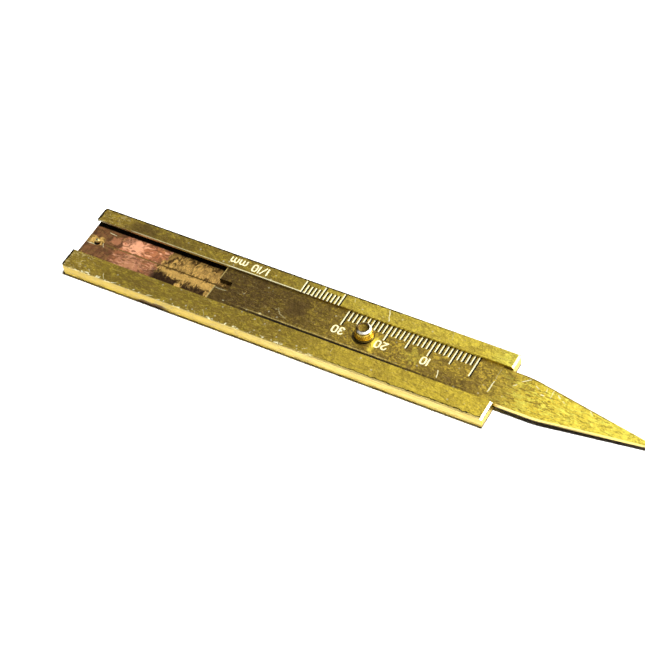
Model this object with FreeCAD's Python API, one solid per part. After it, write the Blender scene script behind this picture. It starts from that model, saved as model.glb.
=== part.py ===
import FreeCAD, Part
import os

# A flat brass sliding gauge: a channel-shaped body built up from strips, and a pointed tongue that
# slides in it under a small turned knob. X runs along the stick towards the tongue's tip, Y runs
# across it towards the rail with the vernier, and Z is up. The origin is the centre of the body's
# underside. Sizes are in millimetres. The tongue is drawn pulled out to its front stops.

Vector = FreeCAD.Vector

# Body: base plate, spacer strips and cover strips, one on another
body_length = 99.5
body_width = 18.5
base_thickness = 0.8
channel_height = 1.3
cover_thickness = 0.5
near_cover_width = 5.05
far_cover_width = 3.7
cover_overhang = 1.15
front_stop_length = 2.0
rear_corner_radius = 0.8
front_corner_radius = 0.25
front_bevel_land = 0.05
edge_break = 0.1
score_width = 0.3
score_depth = 0.08

# Running clearances of the tongue
side_play = 0.05
height_play = 0.05
stop_gap = 0.05

# Tongue: wide part, narrow nose and rounded point
travel = 32.7
near_nose_gap = 0.2
far_nose_gap = 0.35
near_taper_start = 9.0
far_taper_start = 4.7
taper_blend_radius = 18.0
tip_offset = -0.825
tip_radius = 0.36
tip_thickness = 0.6
thinning_start = 1.5

# Zero stop: a pin in the floor and a slot in the tongue's rear end
track_offset = 0.375
pin_diameter = 1.0
pin_height = 1.0
pin_from_rear = 2.7
pin_crown = 0.3
slot_clearance = 0.55
slot_corner_radius = 0.3

# Friction spring in a pocket under the tongue, and the rivet that holds it
rivet_from_rear = 5.9
rivet_head_diameter = 2.3
rivet_shank_diameter = 1.3
rivet_head_depth = 0.45
rivet_crown = 0.04
rivet_foot_diameter = 2.0
rivet_foot_thickness = 0.14
spring_thickness = 0.2
spring_width = 3.0
spring_seat_length = 3.2
spring_bow_length = 6.4
spring_floor_gap = 0.03
pocket_depth = 0.45
pocket_margin = 0.3

# Thumb knob
knob_from_zero = 24.3
knob_offset = 0.225
knob_base_diameter = 4.4
knob_neck_diameter = 3.75
knob_top_diameter = 3.1
knob_height = 2.5
knob_rim_height = 0.55
knob_dish_diameter = 2.1
knob_dish_depth = 0.4
knob_foot_height = 0.25
knob_foot_inset = 0.12
knob_shank_diameter = 1.8

# Scale on the tongue and vernier on the far cover
scale_pitch = 1.0
scale_divisions = 30
scale_long_every = 5
vernier_zero_from_front = 40.0
vernier_divisions = 10
vernier_pitch = scale_pitch * 9 / 10
short_tick = 2.6
long_tick = 4.2
zero_tick = 5.4
vernier_short_tick = 2.3
vernier_long_tick = 3.3
tick_width = 0.64
tick_depth = 0.15
tick_lean = 0.09
tick_overlap = 0.1

# Engraved characters
digit_height = 2.2
digit_gap = 0.55
stroke_width = 0.4
stroke_depth = 0.1
digit_drop = 0.25
unit_mark_from_zero = 22.5
unit_mark_inset = 2.0

# Places worked out from the sizes above
front_x = body_length / 2
rear_x = -body_length / 2
near_y = -body_width / 2
far_y = body_width / 2
opening_near = near_y + near_cover_width
opening_far = far_y - far_cover_width
opening_centre = (opening_near + opening_far) / 2
channel_near = opening_near - cover_overhang
channel_far = opening_far + cover_overhang
floor_z = base_thickness
cover_z = floor_z + channel_height
top_z = cover_z + cover_thickness
tongue_bottom = floor_z + height_play
tongue_top = cover_z - height_play
tongue_rear = rear_x + travel
tip_x = front_x + travel
shoulder_x = front_x - front_stop_length - stop_gap
track_y = opening_centre + track_offset
pin_x = rear_x + pin_from_rear
rivet_x = tongue_rear + rivet_from_rear
pocket_top = tongue_bottom + pocket_depth
vernier_zero_x = front_x - vernier_zero_from_front
scale_zero_x = vernier_zero_x + travel
knob_place = (scale_zero_x - knob_from_zero, opening_centre + knob_offset)


def box(x_range, y_range, z_range):
    """A box between the two ends of each range."""
    size = [high - low for low, high in (x_range, y_range, z_range)]
    return Part.makeBox(*size, Vector(x_range[0], y_range[0], z_range[0]))


def disc(diameter, x, y, z_low, z_high):
    """An upright cylinder."""
    return Part.makeCylinder(diameter / 2, z_high - z_low, Vector(x, y, z_low))


def turned(profile, x, y, z):
    """A turned solid from (radius, height) points, standing at the given place."""
    points = [Vector(radius, 0, height) for radius, height in profile]
    face = Part.Face(Part.makePolygon(points + points[:1]))
    solid = face.revolve(Vector(0, 0, 0), Vector(0, 0, 1), 360)
    solid.translate(Vector(x, y, z))
    return solid


def across(profile, y_low, y_high):
    """A prism whose (x, z) outline is carried across the stick."""
    points = [Vector(x, y_low, z) for x, z in profile]
    face = Part.Face(Part.makePolygon(points + points[:1]))
    return face.extrude(Vector(0, y_high - y_low, 0))


def upright_edges(solid, places):
    """The solid's upright edges that stand at one of the (x, y) places."""
    found = []
    for edge in solid.Edges:
        ends = [vertex.Point for vertex in edge.Vertexes]
        for x, y in places:
            if len(ends) == 2 and all(abs(p.x - x) + abs(p.y - y) < 1e-6 for p in ends):
                found.append(edge)
    return found


def edge_break_cut(side_y, edge_z, inward_z):
    """The thin three-sided prism that breaks a strip's long outer edge at the given side."""
    inward_y = -edge_break if side_y > 0 else edge_break
    points = [
        (side_y + inward_y, edge_z),
        (side_y, edge_z + inward_z * edge_break),
        (side_y - inward_y, edge_z - inward_z * edge_break),
    ]
    corners = [Vector(rear_x - 1, y, z) for y, z in points]
    face = Part.Face(Part.makePolygon(corners + corners[:1]))
    return face.extrude(Vector(body_length + 2, 0, 0))


def rounded_outer_corners(solid, side_y):
    """Round the upright corners of a strip on its outer side, at both ends of the body."""
    solid = solid.makeFillet(rear_corner_radius, upright_edges(solid, [(rear_x, side_y)]))
    return solid.makeFillet(front_corner_radius, upright_edges(solid, [(front_x, side_y)]))


def base_plate():
    plate = box((rear_x, front_x), (near_y, far_y), (0, floor_z))
    for side_y in (near_y, far_y):
        plate = rounded_outer_corners(plate, side_y)
        plate = plate.cut(edge_break_cut(side_y, 0, 1))
    plate = plate.cut(disc(pin_diameter, pin_x, track_y, 0, floor_z))
    score_y = (track_y - score_width / 2, track_y + score_width / 2)
    score = box((pin_x + pin_diameter, front_x), score_y, (floor_z - score_depth, floor_z))
    return plate.cut(score)


def spacer(outer_y, channel_y, opening_y):
    """A side strip with a stop at its front end that closes the groove under the cover."""
    z_range = (floor_z, cover_z)
    strip = box((rear_x, front_x), sorted((outer_y, channel_y)), z_range)
    stop = box((front_x - front_stop_length, front_x), sorted((channel_y, opening_y)), z_range)
    return rounded_outer_corners(strip.fuse(stop).removeSplitter(), outer_y)


def cover(outer_y, opening_y):
    """A top strip, bevelled at its front end, with its long edges broken."""
    strip = box((rear_x, front_x), sorted((outer_y, opening_y)), (cover_z, top_z))
    strip = rounded_outer_corners(strip, outer_y)
    strip = strip.cut(edge_break_cut(outer_y, top_z, -1))
    bevel = cover_thickness - front_bevel_land
    corner = [(front_x - bevel, top_z), (front_x, top_z - bevel), (front_x + bevel, top_z + bevel)]
    return strip.cut(across(corner, near_y - 1, far_y + 1))


def tick(x, y_low, y_high, z):
    """A V-shaped graduation line, as the solid that cuts it."""
    half = tick_width / 2
    return across([(x - half, z), (x + half, z), (x - tick_lean, z - tick_depth)], y_low, y_high)


def bar(start, end):
    """A straight stroke with round ends, from one (x, y) point to another."""
    first, last = Vector(*start, 0), Vector(*end, 0)
    run = last - first
    reach = Part.makeBox(run.Length, stroke_width, stroke_depth, Vector(0, -stroke_width / 2, 0))
    reach.Placement = FreeCAD.Placement(first, FreeCAD.Rotation(Vector(1, 0, 0), run))
    caps = [disc(stroke_width, x, y, 0, stroke_depth) for x, y in (start, end)]
    return reach.fuse(caps)


def bow(centre, radius, start_angle, end_angle):
    """A curved stroke on a circle about the (x, y) centre, with round ends."""
    outer, inner = radius + stroke_width / 2, radius - stroke_width / 2
    sweep = end_angle - start_angle
    place, upward = Vector(*centre, 0), Vector(0, 0, 1)
    ring = Part.makeCylinder(outer, stroke_depth, place, upward, sweep)
    ring = ring.cut(Part.makeCylinder(inner, stroke_depth, place, upward, 360))
    ring.rotate(place, upward, start_angle)
    caps = []
    for angle in (start_angle, end_angle):
        end = place + FreeCAD.Rotation(upward, angle).multVec(Vector(radius, 0, 0))
        caps.append(disc(stroke_width, end.x, end.y, 0, stroke_depth))
    return ring.fuse(caps)


def glyph(name):
    """The strokes of a character, standing on Y 0 from X 0, and the width that it takes."""
    height = digit_height - stroke_width
    round_half = height * 0.28
    if name == "0":
        high, low = (round_half, height - round_half), (round_half, round_half)
        sides = [bar((x, low[1]), (x, high[1])) for x in (0, 2 * round_half)]
        return sides + [bow(high, round_half, 0, 180), bow(low, round_half, 180, 360)], 2 * round_half
    if name == "1":
        return [bar((0, 0), (0, height))], 0
    if name == "2":
        hook = bow((round_half, height - round_half), round_half, -35, 180)
        joint = FreeCAD.Rotation(Vector(0, 0, 1), -35).multVec(Vector(round_half, 0, 0))
        slope = bar((round_half + joint.x, height - round_half + joint.y), (0, 0))
        return [hook, slope, bar((0, 0), (2 * round_half, 0))], 2 * round_half
    if name == "3":
        lobe = height / 4
        lobes = [bow((lobe, height - lobe), lobe, -90, 160), bow((lobe, lobe), lobe, -160, 90)]
        return lobes, 2 * lobe
    if name == "/":
        return [bar((0, 0), (height / 2, height))], height / 2
    if name == "m":
        arch = height * 0.22
        posts = [bar((2 * arch * i, 0), (2 * arch * i, 2 * arch)) for i in range(3)]
        arches = [bow((arch * (2 * i + 1), 2 * arch), arch, 0, 180) for i in range(2)]
        return posts + arches, 4 * arch
    return [], digit_gap


def engraved(text, x, y, z):
    """The solids that cut a text centred at x and y, read from the far side of the stick."""
    strokes, reach = [], 0
    for name in text:
        marks, width = glyph(name)
        for mark in marks:
            mark.translate(Vector(reach, 0, 0))
        strokes += marks
        reach += width + digit_gap
    width = reach - digit_gap
    text_solid = strokes[0].fuse(strokes[1:]).removeSplitter()
    text_solid.translate(Vector(-width / 2, -(digit_height - stroke_width) / 2, -stroke_depth))
    text_solid.rotate(Vector(0, 0, 0), Vector(0, 0, 1), 180)
    text_solid.translate(Vector(x, y, z))
    return text_solid


def vernier_cover():
    """The far cover with its vernier and unit mark."""
    cuts = []
    for index in range(vernier_divisions + 1):
        length = vernier_short_tick if index % scale_long_every else vernier_long_tick
        x = vernier_zero_x - index * vernier_pitch
        cuts.append(tick(x, opening_far, opening_far + length, top_z))
    mark_x = vernier_zero_x - unit_mark_from_zero
    cuts.append(engraved("1/10 mm", mark_x, far_y - unit_mark_inset + edge_break, top_z))
    return cover(far_y, opening_far).cut(cuts)


def stop_pin():
    top = floor_z + pin_height
    pin = disc(pin_diameter, pin_x, track_y, 0, top)
    rim = [edge for edge in pin.Edges if abs(edge.BoundBox.ZMin - top) < 1e-6]
    return pin.makeFillet(pin_crown, rim[:1])


def tongue_blank():
    """The tongue's flat outline, raised to its thickness, with its nose thinned to the point."""
    near_side, far_side = channel_near + side_play, channel_far - side_play
    near_nose, far_nose = opening_near + near_nose_gap, opening_far - far_nose_gap
    near_corner = (front_x + near_taper_start, near_nose)
    far_corner = (front_x + far_taper_start, far_nose)
    tip_y = opening_centre + tip_offset
    point_x = tip_x - tip_radius
    corners = [
        (point_x, tip_y + tip_radius),
        far_corner,
        (shoulder_x, far_nose),
        (shoulder_x, far_side),
        (tongue_rear, far_side),
        (tongue_rear, near_side),
        (shoulder_x, near_side),
        (shoulder_x, near_nose),
        near_corner,
        (point_x, tip_y - tip_radius),
    ]
    outline = Part.makePolygon([Vector(x, y, tongue_bottom) for x, y in corners])
    point = Part.Arc(
        Vector(point_x, tip_y - tip_radius, tongue_bottom),
        Vector(tip_x, tip_y, tongue_bottom),
        Vector(point_x, tip_y + tip_radius, tongue_bottom),
    )
    face = Part.Face(Part.Wire(outline.Edges + [point.toShape()]))
    blank = face.extrude(Vector(0, 0, tongue_top - tongue_bottom))
    blank = blank.makeFillet(taper_blend_radius, upright_edges(blank, [near_corner, far_corner]))
    start_x = front_x + thinning_start
    slope_end = tongue_bottom + tip_thickness
    fall = [(start_x, tongue_top), (tip_x, slope_end), (tip_x + 1, slope_end), (tip_x + 1, tongue_top)]
    return blank.cut(across(fall, near_side, far_side))


def zero_slot():
    """The open slot in the tongue's rear end, as the solid that cuts it."""
    half = pin_diameter / 2 + slot_clearance
    end_x = tongue_rear + pin_from_rear + pin_diameter / 2 + stop_gap
    z_range = (tongue_bottom, tongue_top)
    slot = box((tongue_rear - 1, end_x), (track_y - half, track_y + half), z_range)
    corners = [(end_x, track_y - half), (end_x, track_y + half)]
    return slot.makeFillet(slot_corner_radius, upright_edges(slot, corners))


def spring_pocket():
    """The pocket in the tongue's underside that the friction spring lies in."""
    start_x = rivet_x - spring_seat_length / 2 - pocket_margin
    end_x = rivet_x + spring_seat_length / 2 + spring_bow_length + pocket_margin
    half = spring_width / 2 + pocket_margin
    return box((start_x, end_x), (track_y - half, track_y + half), (tongue_bottom, pocket_top))


def scale_cuts():
    """The scale's lines, and its numbers at every ten divisions."""
    cuts = []
    for index in range(scale_divisions + 1):
        length = short_tick if index % scale_long_every else long_tick
        if index == 0:
            length = zero_tick
        x = scale_zero_x - index * scale_pitch
        cuts.append(tick(x, opening_far - length, opening_far + tick_overlap, tongue_top))
    number_y = opening_far - long_tick - digit_drop - digit_height / 2
    for index in range(10, scale_divisions + 1, 10):
        x = scale_zero_x - index * scale_pitch
        cuts.append(engraved(str(index), x, number_y, tongue_top))
    return cuts


def tongue():
    knob_hole = disc(knob_shank_diameter, knob_place[0], knob_place[1], tongue_bottom, tongue_top)
    cuts = [zero_slot(), spring_pocket(), knob_hole, spring_rivet()]
    return tongue_blank().cut(cuts + scale_cuts())


def thumb_knob():
    shank, base = knob_shank_diameter / 2, knob_base_diameter / 2
    shoulder_height = knob_height - knob_rim_height
    profile = [
        (0, tongue_bottom - tongue_top),
        (shank, tongue_bottom - tongue_top),
        (shank, 0),
        (base - knob_foot_inset, 0),
        (base, knob_foot_height / 2),
        (base - knob_foot_inset, knob_foot_height),
        (knob_neck_diameter / 2, shoulder_height),
        (knob_top_diameter / 2, knob_height),
        (knob_dish_diameter / 2, knob_height),
        (0, knob_height - knob_dish_depth),
    ]
    return turned(profile, knob_place[0], knob_place[1], tongue_top)


def spring_rivet():
    head, shank = rivet_head_diameter / 2, rivet_shank_diameter / 2
    foot = rivet_foot_diameter / 2
    seat = pocket_top - spring_thickness - tongue_top
    profile = [
        (0, seat - rivet_foot_thickness),
        (foot, seat - rivet_foot_thickness),
        (foot, seat),
        (shank, seat),
        (shank, -rivet_head_depth),
        (head, 0),
        (head - rivet_crown, rivet_crown),
        (0, rivet_crown),
    ]
    return turned(profile, rivet_x, track_y, tongue_top)


def friction_spring():
    """A leaf with a flat seat at the rivet and a bow that bears on the floor."""
    seat_start = rivet_x - spring_seat_length / 2
    seat_end = rivet_x + spring_seat_length / 2
    bow_end = seat_end + spring_bow_length
    low_y = track_y - spring_width / 2
    bow_low = floor_z + spring_floor_gap

    def surface(seat_z, bow_z):
        """The seat line and the bow's arc of one face of the leaf."""
        ends = [Vector(x, low_y, seat_z) for x in (seat_start, seat_end, bow_end)]
        middle = Vector((seat_end + bow_end) / 2, low_y, bow_z)
        return [Part.LineSegment(ends[0], ends[1]).toShape(), Part.Arc(ends[1], middle, ends[2]).toShape()]

    lower = surface(pocket_top - spring_thickness, bow_low)
    upper = surface(pocket_top, bow_low + spring_thickness)
    edges = list(lower) + list(upper)
    for x in (seat_start, bow_end):
        ends = [Vector(x, low_y, z) for z in (pocket_top - spring_thickness, pocket_top)]
        edges.append(Part.LineSegment(*ends).toShape())
    outline = Part.Wire(Part.__sortEdges__(edges))
    leaf = Part.Face(outline).extrude(Vector(0, spring_width, 0))
    return leaf.cut(disc(rivet_shank_diameter, rivet_x, track_y, 0, top_z))


nodes = {
    "base_plate": base_plate(),
    "near_spacer": spacer(near_y, channel_near, opening_near),
    "far_spacer": spacer(far_y, channel_far, opening_far),
    "near_cover": cover(near_y, opening_near),
    "far_cover": vernier_cover(),
    "stop_pin": stop_pin(),
    "tongue": tongue(),
    "thumb_knob": thumb_knob(),
    "spring_rivet": spring_rivet(),
    "friction_spring": friction_spring(),
}

os.makedirs("parts", exist_ok=True)
for name, shape in nodes.items():
    shape.exportStep("parts/" + name + ".step")
    print(name, len(shape.Solids), "solid,", round(shape.Volume, 2), "mm3, valid", shape.isValid())
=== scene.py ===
"""Looks of a sliding brass gauge stick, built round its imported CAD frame."""

import logging
import math
from dataclasses import dataclass
from enum import Enum
from functools import reduce

import bpy
from mathutils import Matrix, Vector


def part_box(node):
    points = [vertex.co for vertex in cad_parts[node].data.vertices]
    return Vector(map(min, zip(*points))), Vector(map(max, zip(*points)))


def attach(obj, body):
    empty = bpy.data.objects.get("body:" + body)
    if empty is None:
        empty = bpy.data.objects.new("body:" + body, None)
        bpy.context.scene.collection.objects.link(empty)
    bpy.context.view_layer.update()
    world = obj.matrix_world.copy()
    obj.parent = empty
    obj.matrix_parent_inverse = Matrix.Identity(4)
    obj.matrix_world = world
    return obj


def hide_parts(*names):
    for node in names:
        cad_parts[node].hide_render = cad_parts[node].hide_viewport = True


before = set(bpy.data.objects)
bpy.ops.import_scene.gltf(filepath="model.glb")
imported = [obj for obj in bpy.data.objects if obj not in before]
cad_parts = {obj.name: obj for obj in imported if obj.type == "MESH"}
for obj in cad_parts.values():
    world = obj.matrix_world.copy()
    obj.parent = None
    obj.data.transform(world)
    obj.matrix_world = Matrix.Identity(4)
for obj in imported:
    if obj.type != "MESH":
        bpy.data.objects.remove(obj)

MM = 0.001
Colour = tuple[float, float, float]
Point = tuple[float, float, float]
Spot = tuple[float, float]
Socket = bpy.types.NodeSocket
log = logging.getLogger("gauge_stick")


class Body(Enum):
    """The two rigid bodies of the gauge."""

    CHANNEL = "channel_body"
    SLIDE = "slide"


class Slot(Enum):
    """The material slots that the record names."""

    BODY = "body_brass"
    TONGUE = "tongue_brass"
    KNOB = "knob_brass"
    PIN = "pin_brass"
    SPRING = "spring_bronze"


class Fade(Enum):
    """How a step between two values is drawn."""

    LINEAR = "LINEAR"
    SMOOTH = "SMOOTHSTEP"


class Nodes:
    """A node tree, with short methods for the arithmetic that its materials and its light share."""

    def __init__(self, tree: bpy.types.NodeTree) -> None:
        """Keep the tree that the methods add to."""
        self.tree = tree

    def link(self, value: object, socket: Socket) -> None:
        """Feed a socket with another socket, or set it to a plain value.

        Args:
            value: An output socket, a number or a tuple of numbers.
            socket: The input socket that takes it.
        """
        if isinstance(value, Socket):
            self.tree.links.new(value, socket)
        else:
            socket.default_value = value

    def feed(self, node: bpy.types.Node, **values: object) -> bpy.types.Node:
        """Feed or set a node's inputs.

        Args:
            node: The node.
            values: A value for each input, by the input's name with "_" for a space.

        Returns:
            The same node.
        """
        for name, value in values.items():
            self.link(value, node.inputs[name.replace("_", " ")])
        return node

    def add(self, kind: str, **values: object) -> bpy.types.Node:
        """Add a node of one kind, and feed or set its inputs."""
        return self.feed(self.tree.nodes.new(f"ShaderNode{kind}"), **values)

    def math(self, operation: str, first: object, second: object = 0.0) -> Socket:
        """Work out one number from two.

        Args:
            operation: The Math node's operation.
            first: The first number or socket.
            second: The second number or socket.

        Returns:
            The result's socket.
        """
        node = self.add("Math")
        node.operation = operation
        self.link(first, node.inputs[0])
        self.link(second, node.inputs[1])
        return node.outputs[0]

    def times(self, *masks: object) -> Socket:
        """Multiply masks or numbers, which keeps what lies in all of the masks."""
        return reduce(lambda total, mask: self.math("MULTIPLY", total, mask), masks)

    def union(self, *masks: object) -> Socket:
        """Lay masks over each other, which keeps the largest at each point."""
        return reduce(lambda total, mask: self.math("MAXIMUM", total, mask), masks)

    def plus(self, first: object, second: object) -> Socket:
        """Add two numbers."""
        return self.math("ADD", first, second)

    def less(self, first: object, second: object) -> Socket:
        """Take the second number from the first."""
        return self.math("SUBTRACT", first, second)

    def step(self, value: object, low: float, high: float, fade: Fade = Fade.SMOOTH) -> Socket:
        """Rise from 0 to 1 as a value goes from low to high.

        Args:
            value: The number or socket that is looked at.
            low: Where the result is 0.
            high: Where the result is 1. It may be under low, for a fall.
            fade: The shape of the rise.

        Returns:
            The result's socket.
        """
        node = self.add("MapRange", Value=value, From_Min=low, From_Max=high)
        node.interpolation_type = fade.value
        return node.outputs["Result"]


class Graph(Nodes):
    """A metal material's node tree, with one short method for each pattern that the finishes use."""

    def __init__(self, name: str) -> None:
        """Start an empty metal material.

        Args:
            name: The material's name.
        """
        self.material = bpy.data.materials.new(name)
        self.material.use_nodes = True
        super().__init__(self.material.node_tree)
        self.shader = next(n for n in self.tree.nodes if n.type == "BSDF_PRINCIPLED")
        coordinates = self.add("TexCoord").outputs
        scaled = self.add("VectorMath")
        scaled.operation = "SCALE"
        self.feed(scaled, Vector=coordinates["Object"], Scale=1 / MM)
        self.place = scaled.outputs[0]
        self.x, self.y, self.z = self.add("SeparateXYZ", Vector=self.place).outputs
        self.facing = self.add("SeparateXYZ", Vector=coordinates["Normal"]).outputs

    def band(self, value: object, low: float, high: float, soft: float) -> Socket:
        """Give 1 between low and high, and 0 outside them, with soft edges.

        Args:
            value: The number or socket that is looked at.
            low: The band's lower side.
            high: The band's upper side.
            soft: The width of each edge.

        Returns:
            The mask's socket.
        """
        rise = self.step(value, low - soft, low + soft)
        fall = self.step(value, high + soft, high - soft)
        return self.times(rise, fall)

    def upward(self, low: float = 0.3, high: float = 0.5) -> Socket:
        """Mask the faces that look up, fading in between two shares of straight up."""
        return self.step(self.facing[2], low, high)

    def away(self, x: float, y: float) -> Socket:
        """Measure the distance from an upright axis at x and y, in millimetres."""
        from_x, from_y = self.less(self.x, x), self.less(self.y, y)
        return self.math("SQRT", self.plus(self.times(from_x, from_x), self.times(from_y, from_y)))

    def noise(self, scale: Point, detail: float = 4.0, seed: float = 0.0, rough: float = 0.55,
              distortion: float = 0.0) -> Socket:
        """Draw a cloudy pattern with its own scale along each axis.

        Args:
            scale: Features per millimetre along X, Y and Z.
            detail: The number of finer layers.
            seed: A shift that gives each use its own pattern.
            rough: How strong the finer layers are.
            distortion: How much the pattern curls.

        Returns:
            The pattern's socket, from 0 to 1.
        """
        mapping = self.add("Mapping", Vector=self.place, Scale=scale,
                           Location=(seed, seed * 1.7, seed * 0.6))
        node = self.add("TexNoise", Vector=mapping.outputs[0], Scale=1.0, Detail=detail,
                        Roughness=rough, Distortion=distortion)
        return node.outputs["Fac"]

    def wander(self, scale: Point, detail: float, seed: float, rough: float = 0.55) -> Socket:
        """Draw a cloudy pattern that goes evenly to both sides of 0."""
        return self.less(self.noise(scale, detail, seed, rough), 0.5)

    def specks(self, scale: float, size: float, seed: float = 0.0) -> Socket:
        """Draw scattered round specks.

        Args:
            scale: Cells per millimetre.
            size: The speck's radius as a share of its cell.
            seed: A shift that gives each use its own pattern.

        Returns:
            The mask's socket.
        """
        mapping = self.add("Mapping", Vector=self.place, Scale=(scale, scale, scale),
                           Location=(seed, -seed, seed * 2))
        node = self.add("TexVoronoi", Vector=mapping.outputs[0], Scale=1.0)
        return self.step(node.outputs["Distance"], size, size * 0.4)

    def hairs(self, turn: float, length: float, width: float, seed: float, share: float = 0.66) -> Socket:
        """Draw scattered thin scratches that all run one way.

        Args:
            turn: Their direction on the top face, in degrees from X.
            length: Their length in millimetres.
            width: Their width in millimetres.
            seed: A shift that gives each use its own pattern.
            share: The level that the pattern has to reach; nearer 1 leaves fewer of them.

        Returns:
            The mask's socket.
        """
        turned = self.add("VectorRotate")
        turned.rotation_type = "Z_AXIS"
        self.feed(turned, Vector=self.place, Angle=math.radians(-turn))
        mapping = self.add("Mapping", Vector=turned.outputs[0], Scale=(1 / length, 1 / width, 1 / width),
                           Location=(seed, seed * 1.3, seed * 0.4))
        node = self.add("TexNoise", Vector=mapping.outputs[0], Scale=1.0, Detail=1.0)
        return self.step(node.outputs["Fac"], share, share + 0.05)

    def scratch(self, start: Spot, end: Spot, width: float) -> Socket:
        """Draw one straight scratch across a top face.

        Args:
            start: The scratch's first end, as X and Y in millimetres.
            end: Its last end.
            width: Its full width in millimetres.

        Returns:
            The mask's socket.
        """
        run = Vector(end) - Vector(start)
        length = run.length
        along_x, along_y = run / length
        centre = (Vector(start) + Vector(end)) / 2
        wander = self.wander((0.9, 0.9, 0.9), 3.0, 70.0)
        from_x = self.less(self.plus(self.x, self.times(wander, 0.5)), centre.x)
        from_y = self.less(self.plus(self.y, self.times(wander, 0.4)), centre.y)
        along = self.plus(self.times(from_x, along_x), self.times(from_y, along_y))
        aside = self.less(self.times(from_x, along_y), self.times(from_y, along_x))
        thin = self.step(self.math("ABSOLUTE", aside), width / 2, width / 6)
        short = self.step(self.math("ABSOLUTE", along), length / 2, length / 2 - width)
        return self.times(thin, short)

    def mix(self, share: object, first: object, second: object) -> Socket:
        """Blend two colours.

        Args:
            share: The second colour's share, a number or a socket.
            first: A colour or a socket.
            second: A colour or a socket.

        Returns:
            The blend's socket.
        """
        node = self.add("Mix")
        node.data_type = "RGBA"
        self.link(share, node.inputs["Factor"])
        for value, socket in ((first, node.inputs[6]), (second, node.inputs[7])):
            self.link((*value, 1.0) if isinstance(value, tuple) else value, socket)
        return node.outputs[2]

    def blend(self, share: object, first: object, second: object) -> Socket:
        """Blend two numbers.

        Args:
            share: The second number's share, a number or a socket.
            first: A number or a socket.
            second: A number or a socket.

        Returns:
            The blend's socket.
        """
        node = self.add("Mix", Factor=share)
        self.link(first, node.inputs[2])
        self.link(second, node.inputs[3])
        return node.outputs[0]

    def bump(self, height: object, depth: float, under: object = None) -> Socket:
        """Raise a surface by a height pattern.

        Args:
            height: The pattern's socket, from 0 to 1.
            depth: The pattern's full height in millimetres.
            under: The normal of a bump that this one lies on, if any.

        Returns:
            The normal's socket.
        """
        node = self.add("Bump", Strength=1.0, Distance=depth * MM, Height=height)
        if under is not None:
            self.link(under, node.inputs["Normal"])
        return node.outputs["Normal"]

    def finish(self, colour: object, roughness: object, normal: object,
               metal: object = 1.0) -> bpy.types.Material:
        """Wire the worked-out colour, roughness and normal into the metal shader.

        Args:
            colour: The base colour's socket.
            roughness: The roughness socket.
            normal: The normal's socket.
            metal: How metallic it is, a number or a socket.

        Returns:
            The finished material.
        """
        self.feed(self.shader, Metallic=metal, Base_Color=colour, Roughness=roughness, Normal=normal)
        return self.material


@dataclass(frozen=True)
class BrassTones:
    """The colours that old brass goes through, from freshly cut to deeply tarnished; some of them also serve
    as painted highlights, painted sunlight and painted shade.
    """

    silver: Colour = (0.96, 0.92, 0.80)
    cut: Colour = (0.95, 0.90, 0.60)
    # Pale colour of scratches and of painted highlights.
    fill: Colour = (0.70, 0.66, 0.40)
    pale: Colour = (0.86, 0.68, 0.25)
    straw: Colour = (0.76, 0.61, 0.20)
    ochre: Colour = (0.61, 0.44, 0.08)
    bright: Colour = (0.90, 0.68, 0.070)
    lemon: Colour = (1.0, 0.90, 0.13)
    sunlit: Colour = (1.0, 0.82, 0.10)
    worn: Colour = (0.74, 0.52, 0.060)
    olive: Colour = (0.46, 0.32, 0.042)
    drab: Colour = (0.30, 0.21, 0.030)
    dusk: Colour = (0.37, 0.25, 0.036)
    umber: Colour = (0.27, 0.17, 0.030)
    brown: Colour = (0.135, 0.082, 0.024)
    black: Colour = (0.012, 0.009, 0.007)
    gold: Colour = (0.94, 0.58, 0.155)
    salmon: Colour = (0.66, 0.31, 0.18)
    pink: Colour = (0.50, 0.205, 0.10)
    rose: Colour = (0.33, 0.115, 0.052)
    wine: Colour = (0.14, 0.056, 0.024)
    plum: Colour = (0.10, 0.040, 0.018)
    russet: Colour = (0.40, 0.21, 0.065)
    soot: Colour = (0.075, 0.034, 0.014)


TONES = BrassTones()


@dataclass(frozen=True)
class Scratch:
    """One straight mark on a top face, in millimetres.

    Attributes:
        start: Its first end, as X and Y.
        end: Its last end.
        width: Its full width.
        strength: How much it covers, from 0 to 1.
    """

    start: Spot
    end: Spot
    width: float = 0.18
    strength: float = 0.8


@dataclass(frozen=True)
class Patch:
    """One stain or rubbed place on a face, in millimetres.

    Attributes:
        x: Its first and last X.
        y: Its first and last Y.
        soft: The width of its edges.
        strength: How much it covers, from 0 to 1.
        ragged: How far its outline wanders.
    """

    x: Spot
    y: Spot
    soft: float = 0.4
    strength: float = 0.8
    ragged: float = 0.8


SPILL = Patch((-31.0, -23.5), (-9.0, -9.1), 1.5, 0.92, 3.0)
SPILL_TOP: Spot = (1.05, 0.85)


def scratched(g: Graph, marks: tuple[Scratch, ...]) -> Socket:
    """Draw several scratches.

    Args:
        g: The material's graph.
        marks: The scratches.

    Returns:
        Their joint mask.
    """
    return g.union(*(g.times(g.scratch(mark.start, mark.end, mark.width), mark.strength) for mark in marks))


def patched(g: Graph, patches: tuple[Patch, ...], seed: float) -> Socket:
    """Draw several stains with ragged outlines.

    Args:
        g: The material's graph.
        patches: The stains.
        seed: A shift that gives each use its own outline.

    Returns:
        Their joint mask.
    """
    wander_x = g.wander((0.6, 0.6, 0.6), 4.0, seed, 0.65)
    wander_y = g.wander((0.6, 0.6, 0.6), 4.0, seed + 7.0, 0.65)
    masks = []
    for patch in patches:
        x = g.plus(g.x, g.times(wander_x, patch.ragged * 5))
        y = g.plus(g.y, g.times(wander_y, patch.ragged * 5))
        inside = g.times(g.band(x, *patch.x, patch.soft), g.band(y, *patch.y, patch.soft))
        masks.append(g.times(inside, patch.strength))
    return g.union(*masks)


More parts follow.
